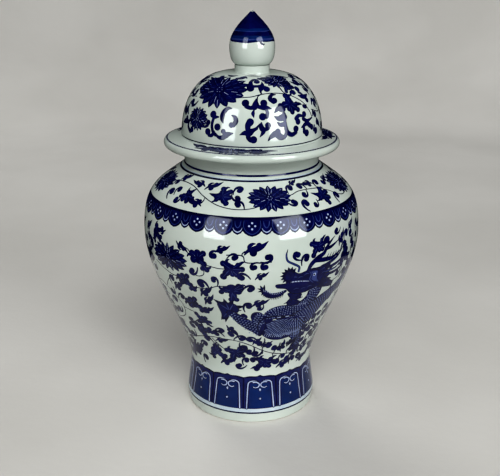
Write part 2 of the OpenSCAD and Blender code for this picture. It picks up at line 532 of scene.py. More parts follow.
def lotus(art, spot, width, height):
    """A full flower of pointed petals in rings, the outer ones first."""
    rings = ((17, 1.0, 0.40, 0.30, 0.0), (13, 0.78, 0.28, 0.27, 0.5), (9, 0.54, 0.12, 0.25, 0.0))
    for count, reach, root, breadth, offset in rings:
        for k in range(count):
            a = 2 * math.pi * (k + offset) / count + math.pi / 2
            c, s = math.cos(a) * width / 2, math.sin(a) * height / 2
            wide = breadth * height / 2 * (1 + 0.35 * abs(math.cos(a)))
            petal = [(root * c, root * s, 0.7 * wide), (0.62 * reach * c, 0.62 * reach * s, wide * 1.2)]
            petal += [(0.86 * reach * c, 0.86 * reach * s, 0.74 * wide), (reach * c, reach * s, 0.25)]
            art.loaded(spot, [petal], edge=0.95)
            vein = [(0.5 * reach * c, 0.5 * reach * s, 0.55), (0.9 * reach * c, 0.9 * reach * s, 0.25)]
            art.stroke("mid" if k % 3 else "light", spot, vein)
    art.disc("line", spot, 0, 0, 0.13 * height)
    art.disc("wash", spot, 0, 0, 0.13 * height, 0.9)
    for a in range(0, 360, 60):
        x, y = math.cos(math.radians(a)), math.sin(math.radians(a))
        art.disc("light", spot, 0.07 * height * x, 0.07 * height * y, 0.4)


def scatter(art, motifs):
    """Puts each kind of motif at its (angle, distance, tilt, size) places. A negative size mirrors it."""
    for kind, places in motifs.items():
        for a, s, tilt, size in places:
            spot = art.spot(a, s, tilt, abs(size), size < 0)
            if kind == "curl":
                curl(art, spot)
            elif kind == "wisp":
                wisp(art, spot)
            else:
                leaf(art, spot, kind)


COMMA_FULLNESS = 1.24  # how much wider a stroke is laid on than its widths say
BULB_FULLNESS = 1.08  # and how much larger its bulb


def commas(art, strokes):
    """Loaded strokes through (angle, distance, width), each ending with its bulb's place and radius."""
    for ink, thin in (("line", 0.0), ("wash", 0.9)):
        for *path, bulb in strokes:
            art.line(ink, [(a, s, COMMA_FULLNESS * w) for a, s, w in path], thin)
            if bulb:
                a, s, r = bulb
                art.disc(ink, art.spot(a, s), 0, 0, BULB_FULLNESS * r, thin)


def vines(art, paths_of_width):
    """Thin stems through (angle, distance) places, where a third number is a width of the place's own."""
    for width, paths in paths_of_width.items():
        for path in paths:
            art.line("line", [(*place, width)[:3] for place in path])


def ring(art, ink, low_edge, high_edge):
    """A plain band all the way round."""
    turn_round = np.linspace(-180, 180, 181)
    art.fill(ink, [(a, low_edge) for a in turn_round] + [(a, high_edge) for a in turn_round[::-1]])


# ---- the bands, from the foot up -------------------------------------------------------------------------

FOOT_LINE = (10.3, 12.0)  # its two edges
LAPPETS = 12
LAPPET_FRONT = 8.5  # angle of the panel nearest the front
LAPPET_FOOT = 15.8
# Places on a panel: part of its half width, and distance
LAPPET_TOP = [(-1, 48.9), (-0.62, 50.2), (-0.2, 50.1), (0, 51.3), (0.2, 50.1), (0.62, 50.2), (1, 48.9)]
LAPPET_INNER = [(-0.95, 16.2), (-0.95, 47.6), (0, 49.6), (0.95, 47.6), (0.95, 16.2)]
LAPPET_BORDER = [(0.80, 16.6), (0.78, 24), (0.74, 38), (0.68, 43.2), (0.45, 44.8), (0.2, 44.2),
                 (0.04, 41.6), (0.09, 38.9), (0.27, 37.7), (0.4, 38.6)]
LAPPET_BLUE = [(-0.66, 16.4), (-0.62, 36), (-0.56, 41.4), (-0.42, 42.6), (-0.3, 41.9)]
LAPPET_VOLUTE = [(0.42, 43.4), (0.22, 43.6), (0.05, 41.6), (0.09, 38.9), (0.27, 37.7), (0.4, 38.6)]


def lappet(art):
    """One upright panel with a double-volute border, a lozenge and a dot."""

    def across(places, side=1):
        return [(side * 180 / LAPPETS * a, s) for a, s in places]

    top = spline([(a * 1.1, s, 1.0) for a, s in across(LAPPET_TOP)], 0.9)[:, :2] / (1.1, 1)
    art.fill("line", [*top, *across([(1, LAPPET_FOOT), (-1, LAPPET_FOOT)])])
    art.fill("body", across(LAPPET_INNER))
    for side in (-1, 1):
        path = across(LAPPET_BORDER, side)
        art.line("line", [(a, s, 2.9) for a, s in path])
        art.line("light", [(a, s, 1.15 if k < 8 else 0.8) for k, (a, s) in enumerate(path)])
    art.fill("panel", across(LAPPET_BLUE) + across(LAPPET_BLUE, -1)[::-1])
    for ink, wide, narrow in (("line", 2.3, 2.3), ("light", 1.1, 0.8)):
        for side in (-1, 1):
            path = across(LAPPET_VOLUTE, side)
            art.line(ink, [(a, s, wide if k < 4 else narrow) for k, (a, s) in enumerate(path)])
    lozenge, dot = art.spot(0, 35.6), art.spot(0, 26.2)
    art.fill("line", lozenge([(0, -2.6), (1.9, 0), (0, 2.6), (-1.9, 0)]))
    art.fill("light", lozenge([(0, -1.7), (1.1, 0), (0, 1.7), (-1.1, 0)]))
    art.disc("line", dot, 0, 0, 1.7)
    art.disc("light", dot, 0, 0, 0.95)


def paint_foot(surface):
    """Foot line, pale band and the ring of lappets."""
    art = Painting(surface, 64)
    ring(art, "line", *FOOT_LINE)
    ring(art, "pale", FOOT_LINE[1], LAPPET_FOOT)
    art.repeat(lappet, [LAPPET_FRONT + k * 360 / LAPPETS for k in range(LAPPETS)])
    return art


SHOULDER_LINE = (231.3, 233.7)  # its two edges
SCALLOPS = 25
SCALLOP_FRONT = 0.3  # angle of the large scallop nearest the front
SMALL_SCALLOP = 7.2  # angle from a large scallop to the small one beside it


def scallop(art):
    """One large and one small scallop hanging from the shoulder line."""
    large = [(-4.6, 221.4), (-3.7, 219.4), (-2, 217.5), (0, 216.5), (2, 217.5), (3.7, 219.4), (4.6, 221.4)]
    small = [(-2.6, 221.4), (-1.7, 219.4), (0, 217.9), (1.7, 219.4), (2.6, 221.4)]
    beside = [(SMALL_SCALLOP + a, s) for a, s in small]
    art.fill("line", large + beside[1:] + [(360 / SCALLOPS - 4.6, 231.9), (-4.6, 231.9)])
    art.fill("wash", [(0.82 * a, s + 1.1) for a, s in large] + [(4.1, 231.2), (-4.1, 231.2)])
    wash = [(0.76 * a, s + 1.1) for a, s in small] + [(2.3, 231.2), (-2.3, 231.2)]
    art.fill("wash", [(SMALL_SCALLOP + a, s) for a, s in wash])
    rim = [(-4.1, 230.5), (-4.3, 226), (-3.4, 222.2), (-1.7, 219.6), (0, 218.7), (1.7, 219.6), (3.4, 222.2),
           (4.3, 226), (4.1, 230.5)]
    art.line("mid", [(a, s, 0.6) for a, s in rim])
    art.line("line", [(0.68 * a, 226 + 0.74 * (s - 226), 0.8) for a, s in rim])
    bow = [(-2.3, 224.0, 0.3), (-1.6, 221.7, 0.7), (0, 220.3, 1.0), (1.6, 221.7, 0.7), (2.3, 224.0, 0.3)]
    arch = [(-1.5, 229.8, 0.5), (-1.1, 226, 0.9), (0, 224.2, 0.9), (1.1, 226, 0.9), (1.5, 229.8, 0.5)]
    for ink, path in (("light", bow), ("mid", arch)):
        art.line(ink, [(SMALL_SCALLOP + a, s, w) for a, s, w in path])
    middle = art.spot(0, 225.8)
    for x, y in ((0, 2.7), (0, -2.7), (2.7, 0), (-2.7, 0)):
        art.disc("light", middle, x, y, 0.95)
    art.disc("line", middle, 0, 0, 1.4)


def paint_shoulder_border(surface):
    """Shoulder line and scalloped border."""
    art = Painting(surface, 98)
    art.repeat(scallop, [SCALLOP_FRONT + k * 360 / SCALLOPS for k in range(SCALLOPS)])
    ring(art, "line", *SHOULDER_LINE)
    return art


FLOWERS = (-76, 11, 75, 144, 214)  # their angles
SHORT_GAP = 75  # widest gap between flowers that takes the shorter spray, degrees
# Places here are a part of the gap to the next flower, and distance
LONG_STEM = [(0, 256), (0.13, 259), (0.27, 261.8), (0.4, 259.5), (0.52, 251.5), (0.65, 243.5),
             (0.78, 240.6), (0.9, 243), (1, 251)]
LONG_SPRAY = {
    "ivy": [(0.4, 248.5, -110, 0.82), (0.661, 253.8, 0, 1.0)],
    "curl": [
        (0.232, 247, 60, 1.0), (0.29, 251.5, 40, 0.85), (0.325, 241.8, 200, 0.85), (0.784, 261.5, 10, 0.95),
        (0.775, 253, 180, -0.85), (0.785, 245.2, 0, -0.9), (0.19, 257.5, 20, 0.75), (0.52, 245.5, 200, 0.6),
    ],
    "wisp": [
        (0.24, 265.4, 20, 0.85), (0.43, 263, 10, -0.9), (0.555, 262.6, 14, 0.95), (0.49, 241.8, 8, -0.95),
    ],
}
SHORT_STEM = [(0, 256), (0.2, 254), (0.33, 257.5), (0.55, 256.5), (0.68, 250.5), (0.79, 242.4), (0.9, 241),
              (1, 251)]
SHORT_SPRAY = {
    "ivy": [(0.56, 247.4, -20, 0.95)],
    "curl": [
        (0.216, 246.5, 200, -0.9), (0.247, 261.6, 20, 0.85), (0.367, 261.8, 0, -0.85),
        (0.36, 253, 190, 0.8), (0.335, 243, 60, 1.0), (0.62, 262, 20, 0.85), (0.75, 242, 30, 0.95),
        (0.72, 260.5, 200, 0.75), (0.42, 240.5, 200, 0.7),
    ],
    "wisp": [(0.49, 262.8, 10, -0.8), (0.80, 262.4, 10, 0.7), (0.3, 267, 10, 0.6)],
}


def paint_shoulder(surface):
    """Lotus scroll on the shoulder: a stem and a spray of leaves from each flower to the next."""
    art = Painting(surface, 85)
    for flower, following in zip(FLOWERS, (*FLOWERS[1:], FLOWERS[0] + 360)):
        gap = following - flower
        art.turn_by = flower
        stem, spray = (LONG_STEM, LONG_SPRAY) if gap > SHORT_GAP else (SHORT_STEM, SHORT_SPRAY)
        vines(art, {0.85: [[(gap * t, s) for t, s in stem]]})
        scatter(art, {kind: [(gap * t, *rest) for t, *rest in places] for kind, places in spray.items()})
        lotus(art, art.spot(0, 252.5), 40.5, 29)
    return art


# Ink and two edges of each
NECK_BANDS = (("pale", 273.2, 274.4), ("line", 271.3, 273.3), ("wash", 276.8, 278.7))


def paint_neck(surface):
    """Two lines at the root of the neck with a pale band between."""
    art = Painting(surface, 66)
    for ink, low_edge, high_edge in NECK_BANDS:
        ring(art, ink, low_edge, high_edge)
    return art


# ---- the dragon, which faces left ------------------------------------------------------------------------


def scales(art, path, row):
    """Rows of small paler scales over a ribbon through (angle, distance, width)."""
    p = np.array(path, float)
    scale = math.radians(1) * art.surface.radius(p[:, 1].mean())
    p[:, 0] *= scale
    p = spline(p, 0.3)
    steps = np.concatenate([[0], np.cumsum(np.linalg.norm(np.diff(p[:, :2], axis=0), axis=1))])
    outline = np.array([(-0.75, 0.35), (-0.45, -0.45), (0, -0.75), (0.45, -0.45), (0.75, 0.35), (0, -0.15)])
    outline *= row / 2
    for i, at in enumerate(np.arange(row, steps[-1] - 1, 0.86 * row)):
        x, y, wide = (np.interp(at, steps, column) for column in p.T)
        ahead, behind = (np.array([np.interp(at + d, steps, q) for q in p.T[:2]]) for d in (0.5, -0.5))
        along = (ahead - behind) / max(math.hypot(*(ahead - behind)), 1e-6)
        across = np.array([-along[1], along[0]])
        half = wide / 2 - 1.6  # leaves the dark edge free
        for offset in np.arange(-half + (i % 2) * row / 2, half, row):
            middle = np.array([x, y]) + offset * across
            cell = middle + outline[:, :1] * across + outline[:, 1:] * along
            art.fill("scale", cell / (scale, 1))


def within(place, outline):
    """Whether a place lies inside a closed outline."""
    x, y = place
    crossings = 0
    for (x0, y0), (x1, y1) in zip(outline, [*outline[1:], outline[0]]):
        if (y0 > y) != (y1 > y) and x < x0 + (y - y0) * (x1 - x0) / (y1 - y0):
            crossings += 1
    return crossings % 2 == 1


def fan(art, hub, outline, reach):
    """Short pale strokes in rings that point at a hub, kept inside an outline of (angle, distance)."""
    row, gap = 4.4, 2.1  # between rings and between the strokes of a ring, mm
    scale = math.radians(1) * art.surface.radius(hub[1])
    for k, near in enumerate(np.arange(row, reach, row)):
        for turn_at in np.arange((k % 2) * gap / 2, 2 * math.pi * near, gap) / near:
            across, up = math.cos(turn_at) / scale, math.sin(turn_at)
            first, last = ((hub[0] + r * across, hub[1] + r * up) for r in (near, near + 0.8 * row))
            if within(first, outline) and within(last, outline):
                art.line("scale", [(*first, 0.5), (*last, 1.1)])


def closed(points):
    """A smooth closed outline through places in degrees and distance."""
    mm_per_degree = 1.6  # roughly, round the belly
    p = [(mm_per_degree * a, s) for a, s in points]
    return [(x / mm_per_degree, s) for x, s in spline([p[-1], *p, p[0], p[1]])[:, :2]]


def edged(art, path, inner="wash"):
    """A broad stroke with a dark edge, through (angle, distance, width)."""
    art.line("line", path)
    art.line(inner, path, 0.9)


def mass(art, points):
    """A smooth closed wash with a dark outline."""
    outline = closed(points)
    art.fill("wash", outline)
    art.line("line", [(a, s, 0.8) for a, s in outline[::2]])


def spikes(art, root, tips, width):
    """Pointed strokes from one root (angle, distance) to several tips."""
    for a, s in tips:
        middle = ((root[0] + a) / 2, (root[1] + s) / 2 + 0.4, 0.8 * width)
        art.line("line", [(*root, width), middle, (a, s, 0.3)])


def dragon_coils(art):
    """The long body in one loop, the hind leg and the haunch, which is combed with short strokes."""
    loop = [(9.5, 122, 14), (11, 117, 24), (16, 114, 33), (24, 114, 35), (31, 119, 34), (38, 128, 28),
            (46, 138, 20), (53, 145, 15), (60, 152, 13), (66, 164, 11), (69.5, 178, 7), (70.5, 189, 2)]
    leg = [(31, 106, 17), (35, 97, 12), (38.5, 88, 9), (40, 80, 7)]
    haunch = [(8.6, 110), (9.2, 120), (13, 124.6), (22, 125.6), (30, 126), (37, 122), (38.5, 108), (38, 99),
              (34, 96.6), (30, 98), (26, 98.6), (18, 99.6), (10.5, 104.5)]
    edged(art, leg)
    edged(art, loop)
    scales(art, loop[3:10], 2.9)
    art.fill("wash", closed(haunch))
    fan(art, (29, 127), haunch, 48)
    scales(art, leg, 2.9)


def dragon_foreleg(art):
    """The foreleg, reaching left to a broad foot with pointed claws."""
    palm = [(-19, 145), (-16.5, 148), (-12, 147.4), (-9, 146.4), (-7, 140), (-9, 134.5), (-12.5, 132.5),
            (-15, 127.4), (-17.6, 125.8), (-17.6, 134)]
    claws = [(-21, 150.4), (-15, 152.4), (-9.6, 152.2), (-3.2, 145), (-5.4, 139), (-16, 121.6),
             (-18.6, 124)]
    limb = [(-12.2, 139), (-7, 133.5), (-2, 127.5), (0.5, 125.6), (0, 131), (0.9, 135.4), (3.4, 137),
            (6.4, 135), (8.6, 128), (9, 118), (8.4, 110), (6.5, 104.2), (3.8, 106.4), (1.5, 109.6),
            (-3, 114.6), (-8, 121.6), (-12, 130.4), (-14.5, 134.5)]
    spikes(art, (-13, 140), claws, 6.4)
    mass(art, palm)
    for a, s in ((-18, 145.6), (-14, 147), (-10, 146.4), (-16.6, 129)):
        art.line("mid", [(-12.4, 138.4, 0.4), ((a - 12.4) / 2, (s + 138.4) / 2, 1.0), (a, s, 0.4)])
    mass(art, limb)
    scales(art, [(-12.6, 135, 9), (-7.5, 127.6, 12), (-2, 120.6, 15), (3, 114.4, 19), (7.6, 112, 18)], 3.1)
    scales(art, [(5, 119, 12), (4.6, 127, 13), (3.8, 136, 12)], 3.1)


def dragon_hind_foot(art):
    """The dark fold above the haunch, the toes of the hind leg and its spur."""
    art.line("line", [(11.5, 126, 0.6), (16, 128.6, 4.6), (22, 128.8, 4.6), (28, 127.6, 0.8)])
    for a in (17, 22.4):
        art.line("light", [(a - 0.8, 128, 1.4), (a + 0.9, 128.2, 1.4)])
    for a, s in ((34, 76.5), (36, 71), (40, 69), (44, 72), (46, 78)):
        edged(art, [(40 + 0.2 * (a - 39), 80, 4.0), ((40 + a) / 2, (80 + s) / 2, 3.0), (a, s, 0.5)])
    spikes(art, (36, 92), [(28, 88), (29, 83), (32, 78)], 3.2)


def dragon_neck(art):
    """The neck, the line of the belly and the pale bristles along it."""
    neck = [(10.6, 125.5, 8), (11.4, 131.5, 14), (16, 136, 15), (24, 136.5, 14), (31, 140, 14),
            (35.5, 147, 15), (37, 156, 16), (36, 163, 12)]
    edged(art, neck)
    scales(art, neck, 2.9)
    belly = [(5, 111, 1.0), (4.2, 118, 1.2), (6, 126, 1.2), (11, 129.6, 1.3), (17, 130, 1.3),
             (24, 129.4, 1.1), (31, 132.5, 0.8)]
    art.line("line", belly)
    for t in np.linspace(0, 1, 24):
        a, s = 3.6 + 29 * t, 135 + 8.5 * math.sin(min(1.0, 1.5 * t) * math.pi / 2) - 3.4 * max(0, t - 0.6)
        art.line("light", [(a, s, 0.5), (a + 0.5, s - 2.4, 0.25)])
    for t in np.linspace(0, 1, 18):
        a, s = 9 + 26 * t, 100.5 + 3 * (2 * t - 0.9) ** 2
        art.line("light", [(a, s, 0.5), (a + 0.9, s + 4.2, 0.25)])


def dragon_far_foot(art):
    """The small foot of the far foreleg, under the jaw."""
    paw = [(20, 158), (21.4, 152), (20, 147), (21.4, 142.5), (24.6, 141.5), (27.8, 142.5), (26.6, 146.5),
           (23.8, 149), (27.8, 151.4), (27.4, 155.5)]
    mass(art, paw)
    for a, s in ((18.4, 145.5), (19.6, 141), (29.4, 150.6), (29.4, 144)):
        edged(art, [(23.5, 148, 3.4), ((23.5 + a) / 2, (148 + s) / 2 + 0.6, 2.6), (a, s, 0.5)])


def dragon_beard(art):
    """The beard that curls to the left, with hairs on both sides."""
    edged(art, [(18, 161, 3), (14, 157.5, 5.6), (9.5, 157.5, 6), (6.6, 162, 5), (4.6, 169, 0.6)])
    spikes(art, (6.5, 163), [(3.2, 166), (3.4, 162), (5.4, 158), (6.6, 170)], 2.4)
    for t in np.linspace(0, 1, 12):
        a, s = 17 - 10.4 * t, 157.5 - 2.6 * math.sin(math.pi * min(1, 1.25 * t)) + 6 * max(0, t - 0.7)
        art.line("line", [(a, s, 1.1), (a - 0.4, s - 3.2, 0.3)])
        art.line("light", [(a, s + 3.2, 0.5), (a - 0.5, s + 5.8, 0.25)])


def dragon_head(art):
    """The open-mouthed head over the tufts behind its cheek."""
    for a, s in ((50.5, 154), (51, 159), (47.5, 164), (46, 170), (46.5, 177)):
        edged(art, [(36, 166, 9), (41.5, 0.5 * (166 + s), 6.5), (a, s, 0.5)])
    head = [(19, 172), (20.6, 181.5), (24.6, 178.4), (30, 180.6), (36, 181), (43.8, 182), (42.6, 176),
            (42.6, 169), (46, 163.5), (50.4, 157.6), (48.4, 154.6), (43, 157), (37, 159.6), (30, 156.4),
            (24, 156.4), (20.4, 159.4), (18, 163.8), (13.4, 165.6), (12.8, 169), (18, 169.6)]
    mass(art, head)
    cheek = [(31.6, 178), (32.8, 175), (32.4, 170), (34.6, 167), (37.6, 165), (36, 169), (35.6, 173),
             (35.4, 177.6)]
    art.fill("mid", closed(cheek))
    art.line("mid", [(30.6, 178.4, 0.5), (31.8, 175, 1.0), (31.4, 170, 1.0), (34, 165.4, 0.5)])
    art.line("light", [(19.6, 170.4, 0.8), (25, 170.2, 1.2), (31, 168.2, 0.6)])
    for a in (20.6, 22.2, 23.8, 25.4, 27):
        art.line("line", [(a, 171.4, 0.6), (a + 0.2, 169.2, 0.6)])
    folds = [(22, 175), (25.4, 174.2), (28.6, 176.4), (24, 162), (28, 161), (32, 162), (40, 174),
             (39.6, 178), (44, 160)]
    for k, (a, s) in enumerate(folds):
        art.line("mid", [(a - 1.3, s - 0.6, 0.3), (a, s + 0.6, 0.7), (a + 1.6, s + 0.2 * (k % 3), 0.3)])


def dragon_eye_and_nose(art):
    """The round eye under its brow, and the nose in a ring of flame-like points."""
    eye = art.spot(34.2, 174)
    art.disc("light", eye, -0.6, 0.4, 1.7)
    art.disc("line", eye, -0.9, 0.3, 0.95)
    art.line("line", [(30, 180.6, 1.4), (33.5, 180.4, 2.2), (37.4, 177.4, 0.8)])
    nose = (19.4, 177.4)
    turns = [math.radians(52 + 25 * k) for k in range(10)]
    spikes(art, nose, [(nose[0] + 5.0 * math.cos(a), nose[1] + 9.2 * math.sin(a)) for a in turns], 5.2)
    art.loaded(art.spot(*nose), [], [(0, 0, 4.8)])


def dragon_horns(art):
    """The branched horn, the comb behind it, the tufts of the mane and the whiskers."""
    horn = [(29.5, 180, 3.6), (31.2, 186, 4.8), (35, 191, 4.6), (38.6, 194, 4.0), (40.5, 199, 3.2),
            (43, 203, 2.4), (46.5, 207.5, 0.4)]
    branch = [(40, 197.5, 3.2), (44, 198.6, 3.0), (49.5, 202.5, 0.4)]
    comb = [(34, 188.6, 4.2), (40, 187.4, 4.6), (45, 187.2, 3.4), (51, 191.5, 0.8)]
    tufts = [
        [(38, 181, 3), (43, 182.6, 3.6), (49, 186.6, 2.6), (54, 195, 0.5)],
        [(41, 178, 3), (47, 178.6, 3.4), (53, 182, 2.4), (57, 189, 0.5)],
        [(42, 171, 3), (48, 170.4, 3.2), (53.6, 173, 2.2), (56.6, 178, 0.5)],
    ]
    for path in (horn, branch, comb, *tufts):
        edged(art, path)
    for a in (40.5, 42.5, 44.5, 46.5, 48.5):
        art.line("line", [(a, 187.5, 1.6), (a + 1.5, 192.6, 0.3)])
    edged(art, [(24, 181, 2.2), (24, 185.5, 2.2), (20.8, 189.3, 2.2), (17.9, 192.6, 2.0), (17.1, 198, 1.7),
                (17.8, 203.5, 0.5)], "mid")
    edged(art, [(42, 174, 2.2), (46, 174.2, 2.1), (49.6, 175.2, 1.7), (51.8, 178.4, 0.5)], "mid")


def dragon(art):
    """A scaled dragon with a flame-like nose, branched horns and clawed feet."""
    dragon_coils(art)
    dragon_foreleg(art)
    dragon_hind_foot(art)
    dragon_neck(art)
    dragon_far_foot(art)
    dragon_beard(art)
    dragon_head(art)
    dragon_eye_and_nose(art)
    dragon_horns(art)


# ---- the field round the belly ---------------------------------------------------------------------------

FIELD_VINES = {
    0.8: [
        [(-24, 182), (-24.5, 177), (-27.5, 174.5), (-31, 176, 0.9)],
        [(-60, 176), (-52, 171), (-44, 168), (-37, 172), (-36.5, 168, 0.9)],
        [(-22, 187), (-16, 185.4), (-10, 186, 0.9)],
        [(-62, 152), (-54, 146), (-48, 138), (-46, 128), (-49, 117), (-57, 110), (-66, 107)],
        [(-46, 129), (-38, 127, 0.9), (-33, 122, 1)],
        [(-104, 152), (-92, 160), (-80, 158), (-70, 150), (-62, 152)],
        [(-45, 168), (-51, 160), (-56, 150)],
        [(52, 178), (56, 170), (54, 162), (50, 160)],
        [(48, 110), (52, 104), (58, 96), (60, 86), (56, 74)],
    ],
    0.9: [
        [(-33, 161), (-24, 161.5), (-18, 166), (-11, 167.5, 1)],
        [(-36, 201), (-32.5, 199), (-31, 194, 1)],
        [(-12, 199), (-7.5, 199.6, 1.2), (-4, 198.5, 1), (-2.8, 193, 1), (3, 192.4), (8, 191.6)],
        [(-4.4, 198.5), (-4.4, 201, 1.1), (-3, 203, 1.4)],
        [(-62, 82), (-50, 88), (-40, 93), (-30, 96.8), (-20, 97), (-10, 96), (0, 90.5), (9, 83), (20, 76.8),
         (32, 73.5), (44, 72)],
        [(9, 83), (9.5, 79), (6, 76.4)],
        [(18, 77), (18.6, 72), (16, 69, 1)],
        [(-104, 84), (-94, 92), (-84, 90), (-74, 82), (-62, 82)],
    ],
    1.0: [
        [(-30, 95, 0.9), (-26, 88), (-22, 83), (-17, 80)],
    ],
}
FIELD_LEAVES = {
    "block": [
        (-27.2, 193, 0, 1.05), (-37.5, 166, 10, 1), (-36, 139, 20, 1.05), (-86, 148, 10, 1.1),
        (62, 116, 30, 1), (-62, 98, 10, 1),
    ],
    "broad": [
        (-10, 162.5, 0, 1.1), (-29.5, 76.5, 50, 1), (-36, 102.5, 100, 1.05), (-57, 204, 60, 0.9),
        (-70, 176, -30, 1.1), (-96, 176, 40, 1.1), (-72, 128, 170, 1.1), (-97, 116, 20, 1.1),
        (-78, 68, -80, 1.05), (-98, 70, 70, 1.05), (56, 184, 60, 1),
    ],
    "fan": [
        (-10, 185.6, 0, 1.05), (-12.5, 79, 20, 1.05), (11.5, 66.5, 0, 1), (34.5, 202, 12, 0.9),
        (-59, 70, 20, 1.1), (-33, 118.5, 176, -0.85), (64, 70, 0, 0.9), (-84, 100, 10, 1),
    ],
    "wisp": [
        (-37, 201.5, 172, -0.85), (-14.5, 203, 4, 0.78), (1.5, 204, 6, 1.25), (4.8, 178.2, 8, 0.75),
        (-24.8, 156.5, 22, 1), (-23.8, 147, 30, 0.9), (-26.5, 133.5, 12, 0.85), (4.5, 147, 5, 0.95),
        (-47.5, 74.5, 20, 0.95), (-52, 66.5, 20, 0.95), (30, 60.5, 0, 1), (-20.5, 65.3, 5, 1.05),
        (5.2, 62, 180, 0.6), (-12.6, 112.4, 152, -0.85), (25.6, 85, 62, 0.85), (-43.5, 155, 20, 1),
        (-22.5, 93.6, -5, 0.8), (4.2, 95.4, 30, 0.7), (11.5, 90.4, 12, 0.7), (-86, 196, 10, 1),
        (-66, 198, 190, -0.9), (-86, 136, 10, 0.9), (-100, 134, 20, 1), (-68, 60, 0, 0.9),
        (-90, 58, 0, 0.9), (52, 60, 0, 0.9), (52, 202, 40, 0.9), (50, 146, 60, 0.7), (70, 100, 60, 1),
        (62, 210, 20, 0.8), (64, 160, 30, 0.9), (42, 97, 30, 0.8), (57, 88, 40, 0.9), (49, 73, 10, 0.8),
        (66, 120, 30, 0.9), (31, 88.6, 50, 0.7), (-67, 206, 20, 0.9), (-52, 210, 170, 0.8),
        (-79, 205, 10, 0.9), (-104, 206, 170, 0.8), (-93, 170, 20, 0.8), (-66, 183, 10, 0.8),
        (-72, 140, 20, 0.8), (-90, 128, 20, 0.8), (-104, 108, 10, 0.8), (-68, 106, 30, 0.8),
        (-98, 58, 10, 0.8), (-78, 57, 10, 0.8), (72, 160, 20, 0.8), (72, 176, 20, 0.8),
    ],
    "curl": [
        (-31, 179, 180, 0.95), (-18.5, 197, 60, -0.95), (-8.2, 196.6, -25, 0.85), (8, 197.6, 247, -0.95),
        (1.5, 188, 75, -0.85), (6.8, 188, 75, -0.9), (-4.8, 177.4, 25, -1), (-19.3, 172.5, -30, -0.85),
        (-26.7, 165.4, 0, -1.15), (-0.4, 164.8, -15, 1), (-47, 162.5, 30, 0.9), (-43.5, 142.5, -10, 0.9),
        (-52.5, 134, 0, 1), (-53.5, 123, 180, 1), (-44, 114.5, 150, 0.9), (-45.5, 104, 60, -1),
        (-25, 102.5, 20, -1), (-20.8, 107.5, -20, 0.9), (-13.6, 104.4, 0, -1), (-6.4, 99.4, -20, 1),
        (-0.6, 98, 20, -0.95), (6.4, 94, 200, 0.9), (13.6, 88.4, 0, 0.9), (18.4, 86, 190, 0.9),
        (23, 82.4, 10, 0.8), (-4.6, 87.6, 160, -0.95), (-1.4, 82, 200, 0.95), (3.6, 79.6, 180, 1),
        (1.8, 69.6, 0, -0.85), (-3.4, 69.4, 30, 0.85), (-10, 62.8, 150, 0.9), (23, 66.8, 160, -0.95),
        (32.5, 67.6, 190, 0.95), (-35, 91, 10, -0.9), (-39.5, 82.5, 0, 0.95), (-4.4, 132.4, 190, -0.9),
        (-1.2, 144.6, 30, 1), (4.6, 142.4, 200, 0.7), (23, 197.5, 100, 0.95), (28, 192.4, 20, 0.95),
        (41, 205, 30, 0.9), (55, 194, 0, 1), (60, 164, 0, 1), (52, 168, 200, 0.8), (46, 116, 30, 1),
        (41, 107, 150, 1), (47, 99, 30, -1), (44, 88, 150, -0.9), (50, 80, 30, 1), (51, 118, 30, 0.9),
        (54, 110, 160, 0.9), (52, 92, 20, 1), (55, 100, 200, 0.9), (57, 124, 30, 0.9), (47.5, 108, 20, 0.8),
        (36, 83, 200, 0.8), (34, 78, 20, 0.7), (28, 71, 20, 0.8), (38, 70.6, 30, 0.8), (58, 180, 30, 1),
        (62, 174, 200, 1), (57, 205, 20, 0.9), (66, 188, 30, 1), (63, 196, 200, 0.9), (68, 170, 20, 0.9),
        (53, 139, 200, 0.8), (63, 144, 20, 0.9), (60, 154, 200, 0.8), (72, 208, 20, 0.9),
        (48, 212, 160, 0.8), (47, 66, 120, 0.9), (60, 96, 120, 1), (68, 82, 30, 1), (66, 134, 20, 1),
        (74, 112, 120, 1), (72, 150, 20, 1), (62, 204, 120, 0.9), (70, 198, 200, 0.8), (-62, 190, 20, 1),
        (-80, 186, 20, 1), (-100, 196, 120, 1), (-84, 168, 160, 1), (-76, 160, 20, 1), (-62, 143, 100, 1),
        (-104, 146, 20, -1), (-58, 118, 30, 0.95), (-104, 98, 30, 1), (-72, 96, 150, 1), (-92, 84, 200, 1),
        (-76, 78, 20, 1), (-68, 86, 160, 0.9), (-50, 92, 200, 0.9), (-55, 82, 20, 0.9), (-43, 63, 30, 0.9),
        (40, 64, 20, 0.8), (-52, 146, 200, 0.9), (-71, 191, 30, 0.9), (-93, 205, 20, 0.9),
        (-101, 187, 160, 0.9), (-91, 186, 20, 0.8), (-65, 166, 200, 0.9), (-80, 177, 20, 0.9),
        (-99, 163, 20, 0.9), (-76, 148, 160, 0.9), (-95, 140, 20, 0.9), (-80, 137, 200, 0.9),
        (-64, 132, 20, 0.9), (-89, 108, 20, 0.9), (-78, 106, 160, 0.9), (-65, 117, 200, 0.8),
        (-60, 126, 20, 0.8), (-84, 72, 160, 0.8), (-62, 75, 20, 0.8), (-98, 92, 30, 0.8),
        (-86, 66, 20, 0.8),
    ],
}


def field_half(art):
    """One dragon among its lotus scrolls."""
    vines(art, FIELD_VINES)
    scatter(art, FIELD_LEAVES)
    lotus(art, art.spot(-47, 186), 50, 28)
    lotus(art, art.spot(-85, 122), 38, 26)
    dragon(art)


def paint_field(surface):
    """Two dragons among lotus scrolls, round the belly."""
    art = Painting(surface, 88)
    art.repeat(field_half, (0, 180))
    return art


# ---- the lid ---------------------------------------------------------------------------------------------

